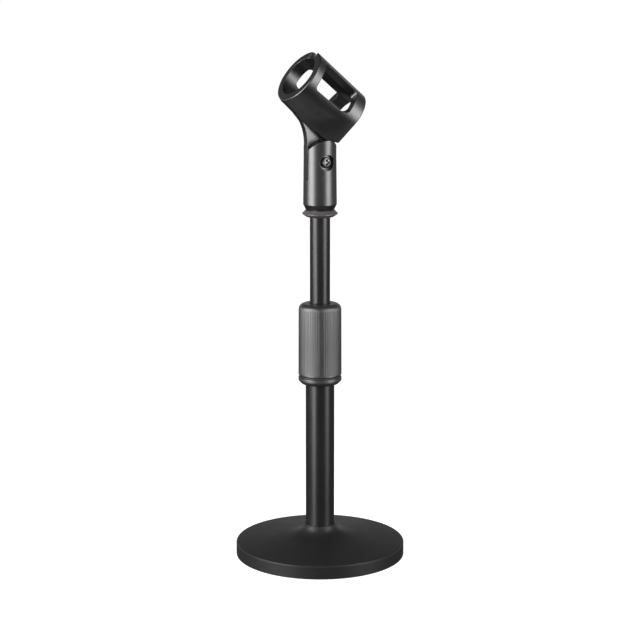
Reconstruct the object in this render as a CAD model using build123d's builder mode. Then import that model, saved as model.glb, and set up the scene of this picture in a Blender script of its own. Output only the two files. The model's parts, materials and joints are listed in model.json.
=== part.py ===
from build123d import *
import math
import os

os.makedirs("parts", exist_ok=True)

# Desktop microphone stand, in millimetres. The origin is the middle of the rubber ring's
# underside, +Z is up, the holder opens towards -X and the pivot screw's head faces -Y.

# Base
base_r = 67.8
base_bottom = 0.4
rim_top = 11.6
rim_round = 1.5
dome_r = 34.0
dome_top = 15.4
flare_top = 25.5
flare_r = 12.15
pad_outer_r = 63.0
pad_inner_r = 46.0
pad_t = 2.2
foot_screw_r = 4.0
foot_head_r = 7.0
foot_head_h = 4.0
foot_washer_r = 8.6
foot_washer_t = 1.6
foot_pocket_r = 9.5
foot_pocket_top = 6.8

# Tubes
lower_r = 11.5
lower_bore_r = 10.0
lower_bottom = 9.8
lower_top = 170.0
upper_r = 8.0
upper_bore_r = 6.5
upper_bottom = 92.0
upper_top = 275.8
plug_h = 20.0

# Clutch
clutch_bottom = 142.0
clutch_ring_top = 147.6
clutch_r = 17.25
clutch_chamfer = 2.6
groove_t = 1.5
nipple_r = 14.4
nipple_top = 184.0
grip_top = 206.8
grip_top_r = 17.0
grip_bore_r = 14.8
grip_thread_top = 188.0
rib_count = 66
rib_depth = 0.3
rib_top = 204.0
shoulder_z = 201.8
shoulder_w = 4.4
collet_bottom = 184.4
collet_top = 203.6
collet_bottom_r = 13.6
collet_top_r = 10.4
collet_slit = 2.4

# Foot of the upper tube
running = 0.05
bushing_h = 20.0
ring_groove_depth = 0.5
ring_t = 1.0

# Head of the upper tube
crimp_z = 271.6
crimp_r = 1.5
stud_shank_r = upper_bore_r
stud_r = 7.9
stud_top = 297.5
flange_bottom = 276.1
flange_top = 281.5
flange_r = 14.1
flange_foot_r = 10.8
flange_head_r = 11.5

# Clip stem
gap = 0.35
stem_bottom = 282.0
stem_chamfer_h = 4.0
stem_bottom_r = 11.3
stem_foot_r = 13.25
stem_head_r = 12.8
pivot_z = 319.4
ear_r = 14.1
ear_rise = 3.2
slot_w = 7.0
slot_r = 18.5
insert_r = 10.0
insert_bottom = 283.0
insert_top = 299.0

# Pivot hardware
tongue_w = 5.7
tongue_r = 18.2
tongue_half = 12.75
pivot_r = 2.0
screw_head_r = 4.3
screw_head_face = 11.2
ear_pocket = 8.4
head_pocket_r = 6.1
nut_flats = 7.0
nut_t = 3.2
spring_washer_t = 0.9
friction_washer_r = 8.5
friction_washer_t = 0.6

# Holder: a sleeve whose axis rises towards -X, a fixed height above the pivot
sleeve_rise = 38.2
sleeve_height = 41.35
sleeve_back = 2.4
sleeve_front = 56.3
sleeve_back_r = 21.0
sleeve_front_r = 23.0
bore_seat_r = 15.0
bore_seat_end = 14.0
bore_front_r = 17.2
lip_round = 0.9
keel_back_w = 13.6
keel_back_drop = 27.4
keel_sections = (
    (sleeve_back, keel_back_w, keel_back_drop),
    (33.0, 3.0, 26.6),
    (43.0, 3.0, 24.6),
    (sleeve_front, 3.0, 23.5),
)
window_back = 13.0
window_front = 49.8
window_front_slant = 0.55
window_top = 37.5
window_bottom = 103.0
window_corner = 3.6
window_low_corner = 5.2
slit_w = 4.8
slit_corner = 4.0
web_bend_r = 37.5
web_bend_start = 334.0
web_bend_h = 24.0
web_back_top = 327.0

rise = math.radians(sleeve_rise)
sleeve_dir = Vector(-math.cos(rise), 0, math.sin(rise))
sleeve_up = Vector(math.sin(rise), 0, math.cos(rise))
side = Vector(0, 1, 0)
pivot = Vector(0, 0, pivot_z)
sleeve_origin = pivot + sleeve_up * sleeve_height


def finish(piece, name):
    piece.part.label = name
    export_step(piece.part, f"parts/{name}.step")


def ring_piece(bottom, height, inner_r, outer_r):
    """A plain ring about the stand's axis."""
    with BuildPart() as ring:
        with BuildSketch(Plane.XY.offset(bottom)):
            Circle(outer_r)
            Circle(inner_r, mode=Mode.SUBTRACT)
        extrude(amount=height)
    return ring


# ---------------------------------------------------------------- base plate
with BuildPart() as base_plate:
    with BuildSketch(Plane.XZ):
        with BuildLine():
            Line((0, base_bottom), (base_r, base_bottom))
            Line((base_r, base_bottom), (base_r, rim_top - rim_round))
            rim_edge = JernArc((base_r, rim_top - rim_round), (0, 1), rim_round, 84)
            dome = TangentArc(rim_edge @ 1, (dome_r, dome_top), tangent=rim_edge % 1)
            flare = Spline(
                dome @ 1,
                (flare_r + 0.6, flare_top - 1.2),
                tangents=(dome % 1, (-0.25, 1)),
                tangent_scalars=(1.2, 0.8),
            )
            Line(flare @ 1, (flare_r, flare_top))
            Line((flare_r, flare_top), (0, flare_top))
            Line((0, flare_top), (0, base_bottom))
        make_face()
    revolve(axis=Axis.Z)
    with BuildSketch(Plane.XY.offset(lower_bottom)):
        Circle(lower_r)
    extrude(amount=flare_top, mode=Mode.SUBTRACT)
    with BuildSketch(Plane.XY):
        Circle(foot_pocket_r)
    extrude(amount=foot_pocket_top, mode=Mode.SUBTRACT)
    with BuildSketch(Plane.XY):
        Circle(foot_screw_r + 0.3)
    extrude(amount=lower_bottom, mode=Mode.SUBTRACT)
    with BuildSketch(Plane.XY):
        Circle(pad_outer_r + 0.2)
        Circle(pad_inner_r - 0.2, mode=Mode.SUBTRACT)
    extrude(amount=pad_t, mode=Mode.SUBTRACT)
    bottom_rim = base_plate.edges().filter_by(GeomType.CIRCLE).group_by(Axis.Z)[0].sort_by(SortBy.RADIUS)[-1]
    fillet(bottom_rim, radius=0.5)
finish(base_plate, "base_plate")

# ---------------------------------------------------------------- rubber ring
base_pad = ring_piece(0, pad_t, pad_inner_r, pad_outer_r)
finish(base_pad, "base_pad")

# ---------------------------------------------------------------- foot hardware
base_washer = ring_piece(foot_pocket_top - foot_washer_t, foot_washer_t, foot_screw_r + 0.2, foot_washer_r)
finish(base_washer, "base_washer")

head_top = foot_pocket_top - foot_washer_t
head_bottom = head_top - foot_head_h
with BuildPart() as base_screw:
    with BuildSketch(Plane.XY.offset(head_bottom)):
        Circle(foot_head_r)
    extrude(amount=foot_head_h)
    chamfer(base_screw.edges().group_by(Axis.Z)[0], length=0.6)
    with BuildSketch(Plane.XY.offset(head_top)):
        Circle(foot_screw_r - 0.05)
    extrude(amount=lower_bottom + plug_h - 3 - head_top)
    with BuildSketch(Plane.XY.offset(head_bottom)):
        RegularPolygon(radius=2.5, side_count=6, major_radius=False)
    extrude(amount=2.4, mode=Mode.SUBTRACT)
finish(base_screw, "base_screw")

tube_plug = ring_piece(lower_bottom, plug_h, foot_screw_r, lower_bore_r)
finish(tube_plug, "tube_plug")

# ---------------------------------------------------------------- lower tube
with BuildPart() as lower_tube:
    with BuildSketch(Plane.XY.offset(lower_bottom)):
        Circle(lower_r)
        Circle(lower_bore_r, mode=Mode.SUBTRACT)
    extrude(amount=lower_top - lower_bottom)
finish(lower_tube, "lower_tube")

# ---------------------------------------------------------------- clutch body
with BuildPart() as clutch_body:
    with BuildSketch(Plane.XZ):
        with BuildLine():
            Polyline(
                (lower_r, clutch_bottom),
                (clutch_r - clutch_chamfer, clutch_bottom),
                (clutch_r, clutch_bottom + clutch_chamfer),
                (clutch_r, clutch_ring_top),
                (nipple_r, clutch_ring_top),
                (nipple_r, nipple_top),
                (upper_r + 0.4, nipple_top),
                (upper_r + 0.4, lower_top),
                (lower_r, lower_top),
                close=True,
            )
        make_face()
    revolve(axis=Axis.Z)
    ring_edge = clutch_body.edges().filter_by(GeomType.CIRCLE).group_by(SortBy.RADIUS)[-1]
    fillet(ring_edge, radius=0.5)
finish(clutch_body, "clutch_body")

clutch_washer = ring_piece(clutch_ring_top + 0.05, groove_t - 0.35, nipple_r + 0.05, clutch_r - 0.7)
finish(clutch_washer, "clutch_washer")

# ---------------------------------------------------------------- clutch grip
grip_bottom = clutch_ring_top + groove_t
with BuildPart() as clutch_grip:
    with BuildSketch(Plane.XZ):
        with BuildLine():
            Line((grip_bore_r, grip_bottom), (clutch_r - 0.4, grip_bottom))
            Line((clutch_r - 0.4, grip_bottom), (clutch_r, grip_bottom + 0.5))
            Line((clutch_r, grip_bottom + 0.5), (grip_top_r, shoulder_z))
            shoulder = ThreePointArc(
                (grip_top_r, shoulder_z),
                (grip_top_r - 1.3, shoulder_z + 3.4),
                (grip_top_r - shoulder_w, grip_top),
            )
            Line(shoulder @ 1, (upper_r + gap, grip_top))
            Line((upper_r + gap, grip_top), (upper_r + gap, collet_top + 0.4))
            Line((upper_r + gap, collet_top + 0.4), (collet_top_r + 0.5, collet_top + 0.4))
            Line((collet_top_r + 0.5, collet_top + 0.4), (collet_bottom_r + 0.4, grip_thread_top))
            Line((collet_bottom_r + 0.4, grip_thread_top), (grip_bore_r, grip_thread_top))
            Line((grip_bore_r, grip_thread_top), (grip_bore_r, grip_bottom))
        make_face()
    revolve(axis=Axis.Z)
    with BuildSketch(Plane.XY.offset(grip_bottom + 1.6)):
        with PolarLocations(clutch_r - rib_depth + 0.8, rib_count):
            RegularPolygon(radius=0.8, side_count=3, rotation=180)
    extrude(amount=rib_top - grip_bottom - 1.6, mode=Mode.SUBTRACT)
finish(clutch_grip, "clutch_grip")

# ---------------------------------------------------------------- clutch collet
with BuildPart() as clutch_collet:
    with BuildSketch(Plane.XZ):
        with BuildLine():
            Polyline(
                (upper_r + running, collet_bottom),
                (collet_bottom_r, collet_bottom),
                (collet_bottom_r, collet_bottom + 3.2),
                (collet_top_r, collet_top),
                (upper_r + running, collet_top),
                close=True,
            )
        make_face()
    revolve(axis=Axis.Z)
    with BuildSketch(Plane.XY.offset(collet_bottom)):
        with Locations((collet_bottom_r / 2 + 1, 0)):
            Rectangle(collet_bottom_r + 4, collet_slit)
    extrude(amount=collet_top, mode=Mode.SUBTRACT)
finish(clutch_collet, "clutch_collet")

# ---------------------------------------------------------------- upper tube
ring_z = upper_bottom + bushing_h + 0.1
with BuildPart() as upper_tube:
    with BuildSketch(Plane.XY.offset(upper_bottom)):
        Circle(upper_r)
        Circle(upper_bore_r, mode=Mode.SUBTRACT)
    extrude(amount=upper_top - upper_bottom)
    with BuildSketch(Plane.XY.offset(ring_z)):
        Circle(upper_r + 1)
        Circle(upper_r - ring_groove_depth, mode=Mode.SUBTRACT)
    extrude(amount=ring_t, mode=Mode.SUBTRACT)
    with BuildSketch(Plane.YZ.offset(upper_r - 0.35)):
        with Locations((0, crimp_z)):
            Circle(crimp_r)
    extrude(amount=2, mode=Mode.SUBTRACT)
    with BuildSketch(Plane.YZ.offset(-upper_r + 0.35)):
        with Locations((0, crimp_z)):
            Circle(crimp_r)
    extrude(amount=-2, mode=Mode.SUBTRACT)
finish(upper_tube, "upper_tube")

guide_bushing = ring_piece(upper_bottom, bushing_h, upper_r + running, lower_bore_r - running)
finish(guide_bushing, "guide_bushing")

retaining_ring = ring_piece(ring_z, ring_t, upper_r - ring_groove_depth, lower_bore_r - 0.6)
finish(retaining_ring, "retaining_ring")

with BuildPart() as end_plug:
    with BuildSketch(Plane.XY.offset(upper_bottom - 2.1)):
        Circle(lower_bore_r - 0.6)
    extrude(amount=2.0)
    with BuildSketch(Plane.XY.offset(upper_bottom - 0.1)):
        Circle(upper_bore_r - 0.02)
    extrude(amount=12)
finish(end_plug, "end_plug")

# ---------------------------------------------------------------- threaded stud
with BuildPart() as top_stud:
    with BuildSketch(Plane.XY.offset(upper_top - 20)):
        Circle(stud_shank_r - 0.02)
    extrude(amount=20)
    with BuildSketch(Plane.XY.offset(upper_top)):
        Circle(stud_r)
    extrude(amount=stud_top - upper_top)
    chamfer(top_stud.edges().group_by(Axis.Z)[-1], length=0.8)
finish(top_stud, "top_stud")

# ---------------------------------------------------------------- lock ring
with BuildPart() as lock_flange:
    with BuildSketch(Plane.XZ):
        with BuildLine():
            Polyline(
                (stud_r + running, flange_bottom),
                (flange_foot_r, flange_bottom),
                (flange_r, flange_bottom + 2.2),
                (flange_r, flange_bottom + 2.8),
                (flange_head_r, flange_top),
                (stud_r + running, flange_top),
                close=True,
            )
        make_face()
    revolve(axis=Axis.Z)
finish(lock_flange, "lock_flange")

# ---------------------------------------------------------------- clip stem
ear_z = pivot_z + ear_rise
ear_reach = ear_rise + ear_r
stem_top = pivot_z + ear_reach + 1
with BuildPart() as ear_envelope:
    with BuildSketch(Plane.XZ.offset(-stem_foot_r - 2)):
        with Locations((0, ear_z)):
            Circle(ear_r)
        with Locations((0, ear_z - ear_r * 2)):
            Rectangle(ear_r * 2, ear_r * 4)
    extrude(amount=2 * stem_foot_r + 4)

with BuildPart() as clip_stem:
    with BuildSketch(Plane.XZ):
        with BuildLine():
            Polyline(
                (0, stem_bottom),
                (stem_bottom_r, stem_bottom),
                (stem_foot_r, stem_bottom + stem_chamfer_h),
                (stem_head_r, pivot_z + 5),
                (stem_head_r, stem_top),
                (0, stem_top),
                close=True,
            )
        make_face()
    revolve(axis=Axis.Z)
    foot_edge = clip_stem.edges().filter_by(GeomType.CIRCLE).group_by(SortBy.RADIUS)[-1]
    fillet(foot_edge, radius=1.0)
    add(ear_envelope.part, mode=Mode.INTERSECT)
    with BuildSketch(Plane.XZ.offset(-slot_w / 2)):
        with Locations((0, pivot_z)):
            Circle(slot_r)
    extrude(amount=slot_w, mode=Mode.SUBTRACT)
    with BuildSketch(Plane.XY.offset(stem_bottom)):
        Circle(insert_r)
    extrude(amount=insert_top - stem_bottom, mode=Mode.SUBTRACT)
    with BuildSketch(Plane.XZ.offset(ear_pocket)):
        with Locations((0, pivot_z)):
            Circle(head_pocket_r)
    extrude(amount=6, mode=Mode.SUBTRACT)
    with BuildSketch(Plane.XZ.offset(-ear_pocket)):
        with Locations((0, pivot_z)):
            RegularPolygon(radius=nut_flats / 2 + 0.1, side_count=6, major_radius=False)
    extrude(amount=-6, mode=Mode.SUBTRACT)
    with BuildSketch(Plane.XZ.offset(-stem_foot_r)):
        with Locations((0, pivot_z)):
            Circle(pivot_r + 0.1)
    extrude(amount=2 * stem_foot_r, mode=Mode.SUBTRACT)
finish(clip_stem, "clip_stem")

thread_insert = ring_piece(insert_bottom, insert_top - insert_bottom, stud_r + running, insert_r - 0.02)
finish(thread_insert, "thread_insert")

# ---------------------------------------------------------------- pivot hardware
with BuildPart() as pivot_screw:
    with BuildSketch(Plane.XZ.offset(screw_head_face)):
        with Locations((0, pivot_z)):
            Circle(screw_head_r)
    extrude(amount=-(screw_head_face - ear_pocket))
    fillet(pivot_screw.edges().group_by(Axis.Y)[0], radius=2.2)
    with BuildSketch(Plane.XZ.offset(ear_pocket)):
        with Locations((0, pivot_z)):
            Circle(pivot_r)
    extrude(amount=-(ear_pocket + ear_pocket + spring_washer_t + nut_t + 0.2))
    with BuildSketch(Plane.XZ.offset(screw_head_face)):
        with Locations((0, pivot_z)):
            Rectangle(4.6, 1.15)
            Rectangle(1.15, 4.6)
    extrude(amount=-1.7, mode=Mode.SUBTRACT, taper=8)
finish(pivot_screw, "pivot_screw")

with BuildPart() as pivot_lock_washer:
    with BuildSketch(Plane.XZ.offset(-ear_pocket)):
        with Locations((0, pivot_z)):
            Circle(3.4)
            Circle(pivot_r + 0.1, mode=Mode.SUBTRACT)
        with Locations((3, pivot_z)):
            Rectangle(3, 0.5, mode=Mode.SUBTRACT)
    extrude(amount=-spring_washer_t)
finish(pivot_lock_washer, "pivot_lock_washer")

with BuildPart() as pivot_nut:
    with BuildSketch(Plane.XZ.offset(-ear_pocket - spring_washer_t)):
        with Locations((0, pivot_z)):
            RegularPolygon(radius=nut_flats / 2, side_count=6, major_radius=False)
            Circle(pivot_r + 0.05, mode=Mode.SUBTRACT)
    extrude(amount=-nut_t)
finish(pivot_nut, "pivot_nut")

washer_start = slot_w / 2 - friction_washer_t
with BuildPart() as pivot_washers:
    with BuildSketch(Plane.XZ.offset(washer_start), Plane.XZ.offset(-slot_w / 2)):
        with Locations((0, pivot_z)):
            Circle(friction_washer_r)
            Circle(pivot_r + 0.1, mode=Mode.SUBTRACT)
    extrude(amount=friction_washer_t)
finish(pivot_washers, "pivot_washers")


# ---------------------------------------------------------------- holder
sleeve_axis = Axis(sleeve_origin, sleeve_dir)
upward_axis = Axis(sleeve_origin, sleeve_up)
across_sleeve = Plane(origin=sleeve_origin, x_dir=side * -1, z_dir=sleeve_dir)
section_plane = Plane(origin=sleeve_origin, x_dir=sleeve_up, z_dir=sleeve_up.cross(sleeve_dir))
slit_plane = Plane(origin=sleeve_origin, x_dir=sleeve_dir, z_dir=sleeve_up)


def keel_section(r, half_w, drop):
    """A circle whose sides run on, tangent to it, down to a flat keel."""
    touch = math.atan2(half_w, drop) + math.acos(r / math.hypot(half_w, drop))
    touch_x = r * math.sin(touch)
    touch_y = -r * math.cos(touch)
    with BuildSketch() as section:
        with BuildLine():
            Line((-half_w, -drop), (half_w, -drop))
            Line((half_w, -drop), (touch_x, touch_y))
            ThreePointArc((touch_x, touch_y), (0, r), (-touch_x, touch_y))
            Line((-touch_x, touch_y), (-half_w, -drop))
        make_face()
    return section.sketch


with BuildPart() as sleeve_shell:
    for distance, half_w, drop in keel_sections:
        widening = (distance - sleeve_back) / (sleeve_front - sleeve_back)
        r = sleeve_back_r + widening * (sleeve_front_r - sleeve_back_r)
        with BuildSketch(across_sleeve.offset(distance)):
            add(keel_section(r, half_w, drop))
    loft(ruled=True)
    end_faces = sleeve_shell.faces().filter_by(lambda f: abs(f.normal_at().dot(sleeve_dir)) > 0.999)
    fillet(end_faces.edges(), radius=lip_round)

with BuildPart() as sleeve_bore:
    with BuildSketch(section_plane):
        Polygon(
            (0, sleeve_back - 20),
            (bore_seat_r, sleeve_back - 20),
            (bore_seat_r, bore_seat_end),
            (bore_front_r, sleeve_front),
            (bore_front_r, sleeve_front + 20),
            (0, sleeve_front + 20),
            align=None,
        )
    revolve(axis=sleeve_axis)

with BuildPart() as ear_clearance:
    with BuildSketch(Plane.XZ.offset(-sleeve_front_r)):
        with Locations((0, pivot_z)):
            Circle(ear_reach + gap)
    extrude(amount=2 * sleeve_front_r)

# The tongue runs on upwards as a web, whose front edge bends forward to meet the keel
bend_reach = web_bend_r - math.sqrt(web_bend_r**2 - web_bend_h**2)
half_bend = web_bend_r - math.sqrt(web_bend_r**2 - web_bend_h**2 / 4)
heel = pivot + sleeve_up * (sleeve_height - keel_back_drop + 0.8) + sleeve_dir * (sleeve_back + 0.4)
corner_drop = math.sqrt(tongue_r**2 - tongue_half**2)
with BuildPart() as web:
    with BuildSketch(Plane.XZ.offset(-tongue_w / 2)):
        with BuildLine():
            ThreePointArc(
                (-tongue_half, pivot_z - corner_drop),
                (0, pivot_z - tongue_r),
                (tongue_half, pivot_z - corner_drop),
            )
            Polyline(
                (tongue_half, pivot_z - corner_drop),
                (tongue_half, web_back_top),
                (heel.X, heel.Z),
                (-tongue_half - bend_reach, web_bend_start + web_bend_h),
            )
            ThreePointArc(
                (-tongue_half - bend_reach, web_bend_start + web_bend_h),
                (-tongue_half - half_bend, web_bend_start + web_bend_h / 2),
                (-tongue_half, web_bend_start),
            )
            Line((-tongue_half, web_bend_start), (-tongue_half, pivot_z - corner_drop))
        make_face()
    extrude(amount=tongue_w)

# A window's side walls stand along the sleeve's radius and its front wall slants
low_angle = math.radians(window_bottom)
window_start = sleeve_up * math.cos(low_angle) - side * math.sin(low_angle)
window_inner_r = bore_seat_r - 6
window_outer_r = sleeve_front_r + 4
front_inner = window_front - window_front_slant * (sleeve_front_r - window_inner_r)
front_outer = window_front + window_front_slant * (window_outer_r - sleeve_front_r)
with BuildPart() as window:
    with BuildSketch(Plane(origin=sleeve_origin, x_dir=window_start, z_dir=window_start.cross(sleeve_dir))):
        Polygon(
            (window_inner_r, window_back),
            (window_outer_r, window_back),
            (window_outer_r, front_outer),
            (window_inner_r, front_inner),
            align=None,
        )
    revolve(axis=sleeve_axis, revolution_arc=window_bottom - window_top)
    lines = window.edges().filter_by(GeomType.LINE)
    corners = lines.filter_by(lambda e: abs((e % 0.5).dot(sleeve_dir)) < 0.7)
    low_corner = corners.sort_by(sleeve_axis)[:2].sort_by(upward_axis)[0]
    low_point = low_corner @ 0.5
    other_corners = corners.filter_by(lambda e: (e @ 0.5 - low_point).length > 1)
    fillet(other_corners, radius=window_corner)
    low_corner = window.edges().filter_by(GeomType.LINE).sort_by_distance(low_point)[0]
    fillet(low_corner, radius=window_low_corner)

with BuildPart() as slit:
    with BuildSketch(slit_plane) as slit_outline:
        Rectangle(2 * sleeve_front, slit_w)
        with Locations((sleeve_front + 5, 0)):
            Rectangle(10, slit_w + 2 * slit_corner + 2)
        mouth = slit_outline.vertices().filter_by(lambda v: abs(v.X - sleeve_front) < 0.1)
        fillet(mouth.filter_by(lambda v: abs(v.Y) < slit_w), radius=slit_corner)
    extrude(amount=sleeve_front_r + 10)

with BuildPart() as clip_holder:
    add(sleeve_shell.part)
    add(ear_clearance.part, mode=Mode.SUBTRACT)
    add(web.part)
    add(sleeve_bore.part, mode=Mode.SUBTRACT)
    add(window.part, mode=Mode.SUBTRACT)
    mirror(window.part, about=Plane.XZ, mode=Mode.SUBTRACT)
    add(slit.part, mode=Mode.SUBTRACT)
    with BuildSketch(Plane.XZ.offset(-tongue_w)):
        with Locations((0, pivot_z)):
            Circle(pivot_r + running)
    extrude(amount=2 * tongue_w, mode=Mode.SUBTRACT)
finish(clip_holder, "clip_holder")
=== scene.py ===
"""A desktop microphone stand on a plain pale floor, lit by two tall softboxes."""
import json
import math

import bmesh
import bpy
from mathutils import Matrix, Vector


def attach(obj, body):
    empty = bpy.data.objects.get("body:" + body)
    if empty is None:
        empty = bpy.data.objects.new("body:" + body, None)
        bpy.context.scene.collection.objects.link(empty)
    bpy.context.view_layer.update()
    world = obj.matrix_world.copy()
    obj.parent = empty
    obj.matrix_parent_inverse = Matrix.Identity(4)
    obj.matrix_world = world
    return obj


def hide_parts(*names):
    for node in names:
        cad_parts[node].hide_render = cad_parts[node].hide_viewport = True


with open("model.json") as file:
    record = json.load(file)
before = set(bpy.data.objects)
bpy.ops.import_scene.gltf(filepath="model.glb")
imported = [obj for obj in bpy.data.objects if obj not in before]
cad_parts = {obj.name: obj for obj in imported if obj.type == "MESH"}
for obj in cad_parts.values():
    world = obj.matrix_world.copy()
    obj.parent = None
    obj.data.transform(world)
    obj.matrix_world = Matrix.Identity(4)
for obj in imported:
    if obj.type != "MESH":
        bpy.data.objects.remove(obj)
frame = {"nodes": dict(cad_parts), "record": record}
nodes = frame["nodes"]
slot_of = {part["node"]: part["material_slot"] for part in frame["record"]["subparts"]}
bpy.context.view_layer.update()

# Scene sizes are in metres and the stand's own sizes in millimetres
MM = 0.001

# Camera: its turn about the stand in degrees, distance and height, and its downward tilt in radians
CAMERA_AZIMUTH = -28.8
CAMERA_DISTANCE = 1.500
CAMERA_HEIGHT = 0.5009
CAMERA_PITCH = 0.2024
CAMERA_SENSOR = 36.0
CAMERA_LENS = 108.57
CAMERA_CLIP_END = 100.0

# Softboxes: name, turn from the camera, bottom, top, width, radiance
SOFTBOX_DISTANCE = 1.25
SOFTBOXES = (
    ("softbox_left", -63, 0.0, 1.5, 0.85, 10.4),
    ("softbox_left_low", -47, -0.27, 0.0, 0.55, 9.0),
    ("softbox_right", 60, 0.03, 1.5, 0.72, 7.7),
    ("softbox_right_low", 60, -0.28, 0.03, 0.60, 3.9),
)

# World: brightness from straight down (0) through the horizon (0.5) to straight up (1)
WORLD_STOPS = (
    (0.0, 0.50),
    (0.05, 0.35),
    (0.11, 0.04),
    (0.20, 0.02),
    (0.32, 0.04),
    (0.40, 0.17),
    (0.47, 0.20),
    (0.52, 0.90),
    (0.58, 0.80),
    (0.67, 0.12),
    (1.0, 0.08),
)
WORLD_BLUE = 1.01

FLOOR_HALF = 40.0
FLOOR_COLOR = (0.30, 0.30, 0.303, 1)
FLOOR_GLOW = (0.99, 0.99, 0.99, 1)
FLOOR_GLOW_STRENGTH = 0.98

# Materials
DRIFT_SCALE = 60.0
COLOR_DRIFT = 0.15
ROUGHNESS_DRIFT = 0.06
RELIEF_DEPTH = 0.0001
EDGE_RADIUS = 0.0005
EDGE_SAMPLES = 6
EDGE_FLAT = 0.995
EDGE_SHARP = 0.85
# Light grey painted on the edges as a highlight, standing in for the glint on rounded rims
PAINTED_HIGHLIGHT_COLOR = (0.16, 0.16, 0.165, 1)
# edge_highlight (wear) sets how strongly the edges are painted lighter as a highlight
SURFACES = {
    "base_coat": dict(
        color=(0.0075, 0.0070, 0.0077),
        roughness=0.50,
        grain=1400,
        bump=0.5,
        edge_highlight=0.15,
        specular=0.28,
    ),
    "tube_coat": dict(
        color=(0.0062, 0.0054, 0.0056),
        roughness=0.31,
        grain=2500,
        bump=0.08,
        edge_highlight=0.2,
        specular=0.4,
    ),
    # ring_coat is a lighter grey than the other blacks: painted reflection of the bright table below in the
    # ring's cones
    "ring_coat": dict(color=(0.060, 0.054, 0.056), roughness=0.34, grain=2200, edge_highlight=0.4),
    "clutch_plastic": dict(
        color=(0.015, 0.0142, 0.015),
        roughness=0.40,
        grain=2000,
        bump=0.25,
        edge_highlight=0.2,
        specular=0.8,
    ),
    "grip_plastic": dict(
        color=(0.0145, 0.0137, 0.0145),
        roughness=0.38,
        grain=2000,
        bump=0.25,
        edge_highlight=0.2,
        specular=0.9,
    ),
    "clip_plastic": dict(
        color=(0.0036, 0.0032, 0.0035),
        roughness=0.345,
        grain=1800,
        bump=0.12,
        specular=0.9,
    ),
    "nylon_black": dict(color=(0.012, 0.012, 0.012), roughness=0.55),
    "nylon_white": dict(color=(0.70, 0.69, 0.64), roughness=0.45),
    "rubber": dict(color=(0.020, 0.020, 0.020), roughness=0.85, grain=1200, bump=0.6),
    "zinc_steel": dict(color=(0.62, 0.62, 0.60), roughness=0.32, metallic=1.0),
    "bare_steel": dict(color=(0.42, 0.42, 0.42), roughness=0.35, metallic=1.0),
    "screw_steel": dict(color=(0.115, 0.112, 0.115), roughness=0.38, metallic=1.0),
    "brass": dict(color=(0.75, 0.56, 0.25), roughness=0.30, metallic=1.0),
}

# Grip: rounded ribs, fading in and out between two heights, and a moulding seam on each side
RIBS = 66
RIB_DEPTH = 0.20
RIB_CREST = 0.5
RIB_VALLEY = 0.95
RIBS_START = (150.1, 151.3)
RIBS_END = (203.6, 205.4)
RIBBED_FROM_R = 15.0
GRIP_R = 17.0
SEAM_TURN = math.radians(25.0)
SEAM_STRIP = (0.9, 1.3)
SEAM_RIDGE = 0.10
SEAM_WIDTH = (0.10, 0.30)

# Upper tube: two punch marks on opposite sides
TUBE_R = 8.0
TUBE_BORE_R = 6.5
TUBE_BOTTOM = 92.0
TUBE_TOP = 275.8
DENT_Z = 271.6
DENT_DEPTH = 0.35
DENT_EDGE = (0.9, 1.6)
DENT_ROWS_FROM = 269.2
DENT_ROW = 0.3
DENT_ROWS = 17

# Pivot screw: its head faces -Y
PIVOT_Z = 319.4
SCREW_SEGMENTS = 160
HEAD_RINGS = 44
HEAD_R = 4.3
HEAD_CROWN = -11.3
HEAD_SEAT = -8.4
DOME_DROP = 1.5
RECESS_DEPTH = 1.9
SHANK_R = 2.0
SHANK_TIP = 12.7
SHANK_CHAMFER = 0.4


# ---------------------------------------------------------------- camera and light
def around_stand(azimuth_deg, distance, height):
    """A point about the stand's axis, at a turn from the pivot screw's side."""
    a = math.radians(azimuth_deg)
    return Vector((math.sin(a) * distance, -math.cos(a) * distance, height))


def add_camera():
    """A viewpoint a little above the holder, to the left of the pivot screw."""
    data = bpy.data.cameras.new("camera")
    data.sensor_width = CAMERA_SENSOR
    data.lens = CAMERA_LENS
    data.clip_end = CAMERA_CLIP_END
    camera = bpy.data.objects.new("camera", data)
    camera.location = around_stand(CAMERA_AZIMUTH, CAMERA_DISTANCE, CAMERA_HEIGHT)
    camera.rotation_euler = (math.pi / 2 - CAMERA_PITCH, 0, math.radians(CAMERA_AZIMUTH))
    bpy.context.scene.collection.objects.link(camera)
    bpy.context.scene.camera = camera


def add_softbox(name, turn, bottom, top, width, radiance):
    """An upright rectangular light facing the stand's axis, of a given radiance."""
    height = top - bottom
    data = bpy.data.lights.new(name, "AREA")
    data.shape = "RECTANGLE"
    data.size = width
    data.size_y = height
    data.energy = radiance * math.pi * width * height
    light = bpy.data.objects.new(name, data)
    light.location = around_stand(CAMERA_AZIMUTH + turn, SOFTBOX_DISTANCE, (bottom + top) / 2)
    aim = Vector((-light.location.x, -light.location.y, 0))
    light.rotation_euler = aim.to_track_quat("-Z", "Y").to_euler()
    light.visible_camera = False
    bpy.context.scene.collection.objects.link(light)


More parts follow.
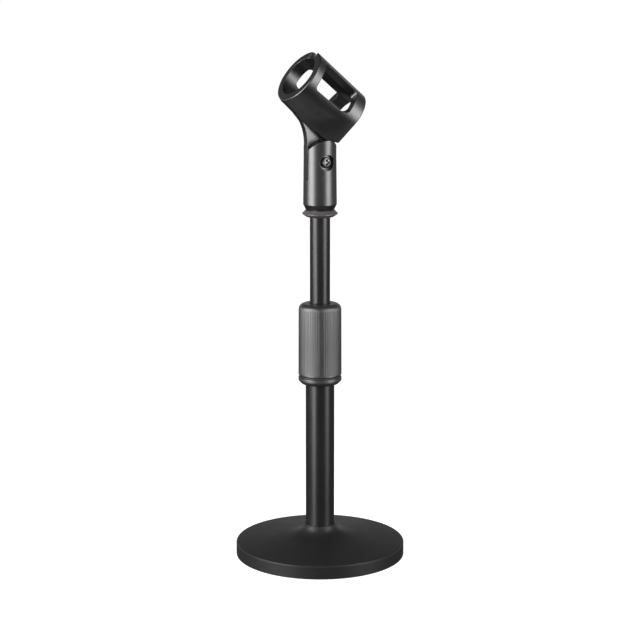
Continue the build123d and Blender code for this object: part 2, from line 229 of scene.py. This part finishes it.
def add_world():
    """White to the eye; in reflections a dim studio with a bright horizon and a paler table below."""
    world = bpy.data.worlds.new("studio")
    bpy.context.scene.world = world
    world.use_nodes = True
    tree = world.node_tree
    tree.nodes.clear()
    out = tree.nodes.new("ShaderNodeOutputWorld")
    mix = tree.nodes.new("ShaderNodeMixShader")
    seen = tree.nodes.new("ShaderNodeBackground")
    lit = tree.nodes.new("ShaderNodeBackground")
    seen.inputs["Color"].default_value = (1.0, 1.0, 1.0, 1)
    path = tree.nodes.new("ShaderNodeLightPath")
    coords = tree.nodes.new("ShaderNodeTexCoord")
    split = tree.nodes.new("ShaderNodeSeparateXYZ")
    span = tree.nodes.new("ShaderNodeMapRange")
    span.inputs["From Min"].default_value = -1
    ramp = tree.nodes.new("ShaderNodeValToRGB")
    ramp.color_ramp.interpolation = "EASE"
    elements = ramp.color_ramp.elements
    while len(elements) < len(WORLD_STOPS):
        elements.new(0.5)
    for element, (place, level) in zip(elements, WORLD_STOPS):
        element.position = place
        element.color = (level, level, level * WORLD_BLUE, 1)
    link = tree.links.new
    link(coords.outputs["Generated"], split.inputs[0])
    link(split.outputs["Z"], span.inputs["Value"])
    link(span.outputs["Result"], ramp.inputs["Fac"])
    link(ramp.outputs["Color"], lit.inputs["Color"])
    link(path.outputs["Is Camera Ray"], mix.inputs["Fac"])
    link(lit.outputs[0], mix.inputs[1])
    link(seen.outputs[0], mix.inputs[2])
    link(mix.outputs[0], out.inputs["Surface"])


def add_floor():
    """A glowing white sheet that the camera sees, but reflections and shadows don't."""
    corners = [
        (-FLOOR_HALF, -FLOOR_HALF, 0),
        (FLOOR_HALF, -FLOOR_HALF, 0),
        (FLOOR_HALF, FLOOR_HALF, 0),
        (-FLOOR_HALF, FLOOR_HALF, 0),
    ]
    mesh = bpy.data.meshes.new("floor")
    mesh.from_pydata(corners, [], [(0, 1, 2, 3)])
    floor = bpy.data.objects.new("floor", mesh)
    bpy.context.scene.collection.objects.link(floor)
    mat = bpy.data.materials.new("floor")
    mat.use_nodes = True
    shader = mat.node_tree.nodes["Principled BSDF"]
    shader.inputs["Base Color"].default_value = FLOOR_COLOR
    shader.inputs["Roughness"].default_value = 0.9
    shader.inputs["Specular IOR Level"].default_value = 0.0
    shader.inputs["Emission Color"].default_value = FLOOR_GLOW
    shader.inputs["Emission Strength"].default_value = FLOOR_GLOW_STRENGTH
    mesh.materials.append(mat)
    floor.visible_glossy = False
    floor.visible_diffuse = False
    floor.visible_shadow = False


# ---------------------------------------------------------------- materials
def surface(name, color, roughness, grain=1500.0, bump=0.1, metallic=0.0, specular=0.5, edge_highlight=0.0):
    """A node material: colour and roughness that drift, a fine grain in relief, and edges lightened by a
    painted highlight.
    """
    mat = bpy.data.materials.new(name)
    mat.use_nodes = True
    tree = mat.node_tree
    link = tree.links.new
    shader = tree.nodes["Principled BSDF"]
    shader.inputs["Metallic"].default_value = metallic
    shader.inputs["Specular IOR Level"].default_value = specular
    coords = tree.nodes.new("ShaderNodeTexCoord")

    drift = tree.nodes.new("ShaderNodeTexNoise")
    drift.inputs["Scale"].default_value = DRIFT_SCALE
    drift.inputs["Detail"].default_value = 4.0
    link(coords.outputs["Object"], drift.inputs["Vector"])

    dark = tuple(c * (1 - COLOR_DRIFT) for c in color) + (1,)
    light = tuple(min(1, c * (1 + COLOR_DRIFT)) for c in color) + (1,)
    tint = tree.nodes.new("ShaderNodeMix")
    tint.data_type = "RGBA"
    tint.inputs[6].default_value = dark
    tint.inputs[7].default_value = light
    link(drift.outputs["Fac"], tint.inputs[0])
    color_out = tint.outputs[2]

    rough = tree.nodes.new("ShaderNodeMapRange")
    rough.inputs["To Min"].default_value = roughness - ROUGHNESS_DRIFT
    rough.inputs["To Max"].default_value = roughness + ROUGHNESS_DRIFT
    link(drift.outputs["Fac"], rough.inputs["Value"])
    link(rough.outputs["Result"], shader.inputs["Roughness"])

    fine = tree.nodes.new("ShaderNodeTexNoise")
    fine.inputs["Scale"].default_value = grain
    fine.inputs["Detail"].default_value = 3.0
    link(coords.outputs["Object"], fine.inputs["Vector"])
    relief = tree.nodes.new("ShaderNodeBump")
    relief.inputs["Strength"].default_value = bump
    relief.inputs["Distance"].default_value = RELIEF_DEPTH
    link(fine.outputs["Fac"], relief.inputs["Height"])

    soft_edge = tree.nodes.new("ShaderNodeBevel")
    soft_edge.samples = EDGE_SAMPLES
    soft_edge.inputs["Radius"].default_value = EDGE_RADIUS
    link(soft_edge.outputs[0], relief.inputs["Normal"])
    link(relief.outputs[0], shader.inputs["Normal"])

    # Painted highlight: where the softened normal turns from the true one, the colour is mixed toward a
    # light grey
    if edge_highlight:
        geometry = tree.nodes.new("ShaderNodeNewGeometry")
        likeness = tree.nodes.new("ShaderNodeVectorMath")
        likeness.operation = "DOT_PRODUCT"
        link(soft_edge.outputs[0], likeness.inputs[0])
        link(geometry.outputs["Normal"], likeness.inputs[1])
        edge = tree.nodes.new("ShaderNodeMapRange")
        edge.inputs["From Min"].default_value = EDGE_FLAT
        edge.inputs["From Max"].default_value = EDGE_SHARP
        edge.inputs["To Max"].default_value = edge_highlight
        link(likeness.outputs["Value"], edge.inputs["Value"])
        highlighted = tree.nodes.new("ShaderNodeMix")
        highlighted.data_type = "RGBA"
        highlighted.inputs[7].default_value = PAINTED_HIGHLIGHT_COLOR
        link(edge.outputs["Result"], highlighted.inputs[0])
        link(color_out, highlighted.inputs[6])
        color_out = highlighted.outputs[2]
    link(color_out, shader.inputs["Base Color"])
    return mat


def dress_cad_nodes():
    """Gives every CAD node the material of its slot in the record."""
    for node, slot in slot_of.items():
        mesh = nodes[node].data
        mesh.materials.clear()
        mesh.materials.append(materials[slot])


# ---------------------------------------------------------------- meshes
def rounded(corners, steps=5):
    """A closed profile of (r, z, rounding) corners, in millimetres, as points with each corner rounded."""
    points = []
    count = len(corners)
    for i, (r, z, rounding) in enumerate(corners):
        here = Vector((r, z))
        if not rounding:
            points.append(here)
            continue
        back = (Vector(corners[i - 1][:2]) - here).normalized()
        onward = (Vector(corners[(i + 1) % count][:2]) - here).normalized()
        for k in range(steps + 1):
            t = k / steps
            points.append(here + rounding * ((1 - t) ** 2 * back + t ** 2 * onward))
    return points


def bridge(bm, here, there):
    """Joins two rings of equally many points with a closed band of faces."""
    for i in range(len(here)):
        j = (i + 1) % len(here)
        bm.faces.new((here[i], there[i], there[j], here[j]))


def lathe(name, corners, segments=192, shape=None, sharp=38):
    """A closed profile turned about the stand's axis. shape(angle, r, z) gives each point a new r."""
    profile = rounded(corners)
    bm = bmesh.new()
    rings = []
    for k in range(segments):
        angle = 2 * math.pi * k / segments
        ring = []
        for r, z in profile:
            reach = shape(angle, r, z) if shape else r
            ring.append(bm.verts.new((math.sin(angle) * reach * MM, -math.cos(angle) * reach * MM, z * MM)))
        rings.append(ring)
    for k in range(segments):
        bridge(bm, rings[k], rings[(k + 1) % segments])
    return mesh_object(name, bm, sharp)


def mesh_object(name, bm, sharp):
    """A smooth-shaded piece with outward faces, sharp where faces meet at more than the given angle."""
    bmesh.ops.recalc_face_normals(bm, faces=bm.faces)
    mesh = bpy.data.meshes.new(name)
    bm.to_mesh(mesh)
    bm.free()
    mesh.shade_smooth()
    mesh.set_sharp_from_angle(angle=math.radians(sharp))
    piece = bpy.data.objects.new(name, mesh)
    bpy.context.scene.collection.objects.link(piece)
    return piece


def hand_over(piece, node, body):
    """The piece takes the place, the body and the material of a CAD node."""
    slot = slot_of[node]
    piece.data.materials.append(materials[slot])
    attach(piece, body)
    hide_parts(node)


def smooth_step(low, high, value):
    """0 below the low value, 1 above the high one, with a soft run between them."""
    t = min(1.0, max(0.0, (value - low) / (high - low)))
    return t * t * (3 - 2 * t)


def turn_to_nearest(angle, offset):
    """The angle to the nearer of two opposite places about the axis."""
    turn = (angle + offset) % math.pi
    return min(turn, math.pi - turn)


# ---------------------------------------------------------------- clutch
def ribbed(angle, r, z):
    """Rounded ribs with a plain strip along each of the two moulding seams."""
    if r < RIBBED_FROM_R:
        return r
    place = (angle * RIBS / (2 * math.pi)) % 1.0
    from_crest = abs(place - 0.5) * 2
    groove = smooth_step(RIB_CREST, RIB_VALLEY, from_crest)
    along = smooth_step(*RIBS_START, z) * (1 - smooth_step(*RIBS_END, z))
    from_seam = turn_to_nearest(angle, SEAM_TURN) * GRIP_R
    clear = smooth_step(*SEAM_STRIP, from_seam)
    seam = SEAM_RIDGE * (1 - smooth_step(*SEAM_WIDTH, from_seam))
    return r - RIB_DEPTH * groove * along * clear + seam


def add_grip():
    """The ribbed grip, its wall drawn in to a rounded shoulder, with the thread and cone inside."""
    corners = [
        (14.8, 149.1, 0.2),
        (16.85, 149.1, 0.0),
        (17.25, 149.6, 0.2),
        (17.24, 150.1, 0),
        (17.23, 150.7, 0),
        (17.22, 151.3, 0),
        (17.12, 176.0, 0),
        (17.0, 201.8, 0),
        (16.93, 202.9, 0),
        (16.75, 203.7, 0),
        (16.4, 204.5, 0),
        (15.9, 205.2, 0),
        (15.2, 205.8, 0),
        (14.3, 206.3, 0),
        (13.4, 206.65, 0),
        (12.5, 206.8, 0),
        (8.35, 206.8, 0.3),
        (8.35, 204.0, 0.2),
        (10.9, 204.0, 0.2),
        (14.0, 188.0, 0.2),
        (14.8, 188.0, 0.2),
    ]
    grip = lathe("grip_ribbed", corners, segments=RIBS * 10, shape=ribbed, sharp=50)
    hand_over(grip, "clutch_grip", "grip")


def add_clutch_ring():
    """The smooth ring at the clutch's foot, with the nipple that stands up inside the grip."""
    corners = [
        (11.52, 142.0, 0.15),
        (14.65, 142.0, 0.5),
        (17.25, 144.6, 0.7),
        (17.25, 147.6, 0.45),
        (14.4, 147.6, 0.1),
        (14.4, 184.0, 0.4),
        (8.4, 184.0, 0.2),
        (8.4, 170.0, 0),
        (11.52, 170.0, 0),
    ]
    hand_over(lathe("clutch_ring", corners), "clutch_body", "base")


# ---------------------------------------------------------------- upper tube and lock ring
def dented(angle, r, z):
    """Two shallow punch marks that hold the stud in the upper tube."""
    if r < TUBE_R - 0.5:
        return r
    across = turn_to_nearest(angle, math.pi / 2) * TUBE_R
    distance = math.hypot(across, z - DENT_Z)
    return r - DENT_DEPTH * (1 - smooth_step(*DENT_EDGE, distance))


def add_upper_tube():
    """The sliding tube, with a groove for its retaining ring near the foot and punch marks near the top."""
    corners = [
        (TUBE_BORE_R, TUBE_BOTTOM, 0.1),
        (TUBE_R, TUBE_BOTTOM, 0.3),
        (TUBE_R, 112.1, 0.05),
        (7.5, 112.1, 0),
        (7.5, 113.1, 0),
        (TUBE_R, 113.1, 0.05),
    ]
    corners += [(TUBE_R, DENT_ROWS_FROM + DENT_ROW * k, 0) for k in range(DENT_ROWS)]
    corners += [(TUBE_R, TUBE_TOP, 0.3), (TUBE_BORE_R, TUBE_TOP, 0.2)]
    hand_over(lathe("riser_tube", corners, segments=160, shape=dented), "upper_tube", "riser")


def add_lock_ring():
    """The double-chamfered ring that locks the clip on its stud."""
    corners = [
        (7.97, 276.1, 0.2),
        (10.8, 276.1, 0.3),
        (14.1, 278.3, 0.25),
        (14.1, 278.9, 0.25),
        (11.5, 281.5, 0.35),
        (7.97, 281.5, 0.2),
    ]
    hand_over(lathe("lock_ring_turned", corners), "lock_flange", "lock_ring")


# ---------------------------------------------------------------- pivot screw
def head_sunk(r, u, v):
    """How far a point of the screw's head lies below its crown, by the dome or by the cross recess."""
    dome = DOME_DROP * (1 - math.sqrt(max(0.0, 1 - (r / HEAD_R) ** 2.6)))
    across = min(abs(u), abs(v))
    reach = max(abs(u), abs(v))
    arm_half = 0.78 - 0.10 * reach
    arms = (1 - smooth_step(arm_half - 0.12, arm_half + 0.12, across)) * (1 - smooth_step(2.2, 2.9, reach))
    middle = 1 - smooth_step(0.9, 1.7, math.hypot(u, v))
    return dome + RECESS_DEPTH * max(arms, middle)


def screw_ring(bm, r, y, sunk=None):
    """A ring of points about the pivot at a given y, each one moved inwards by sunk(r, u, v)."""
    ring = []
    for i in range(SCREW_SEGMENTS):
        a = 2 * math.pi * i / SCREW_SEGMENTS
        u, v = r * math.cos(a), r * math.sin(a)
        depth = sunk(r, u, v) if sunk else 0.0
        ring.append(bm.verts.new((u * MM, (y + depth) * MM, (PIVOT_Z + v) * MM)))
    return ring


def add_pivot_screw():
    """A pan head with a cross recess, on a plain shank through both ears and the nut."""
    bm = bmesh.new()
    centre = bm.verts.new((0, (HEAD_CROWN + RECESS_DEPTH) * MM, PIVOT_Z * MM))
    radii = [HEAD_R * k / HEAD_RINGS for k in range(1, HEAD_RINGS + 1)]
    rings = [screw_ring(bm, r, HEAD_CROWN, head_sunk) for r in radii]
    rings += [
        screw_ring(bm, HEAD_R, HEAD_SEAT),
        screw_ring(bm, SHANK_R, HEAD_SEAT),
        screw_ring(bm, SHANK_R, SHANK_TIP - SHANK_CHAMFER),
        screw_ring(bm, SHANK_R - SHANK_CHAMFER, SHANK_TIP),
    ]
    for here, there in zip(rings, rings[1:]):
        bridge(bm, here, there)
    for i in range(SCREW_SEGMENTS):
        bm.faces.new((centre, rings[0][i], rings[0][(i + 1) % SCREW_SEGMENTS]))
    bm.faces.new(rings[-1])
    hand_over(mesh_object("screw_cross_head", bm, 45), "pivot_screw", "clip")


add_camera()
add_world()
for softbox in SOFTBOXES:
    add_softbox(*softbox)
add_floor()
materials = {slot: surface(slot, **look) for slot, look in SURFACES.items()}
dress_cad_nodes()
add_grip()
add_upper_tube()
add_lock_ring()
add_clutch_ring()
add_pivot_screw()

bpy.context.scene.view_settings.view_transform = "Standard"
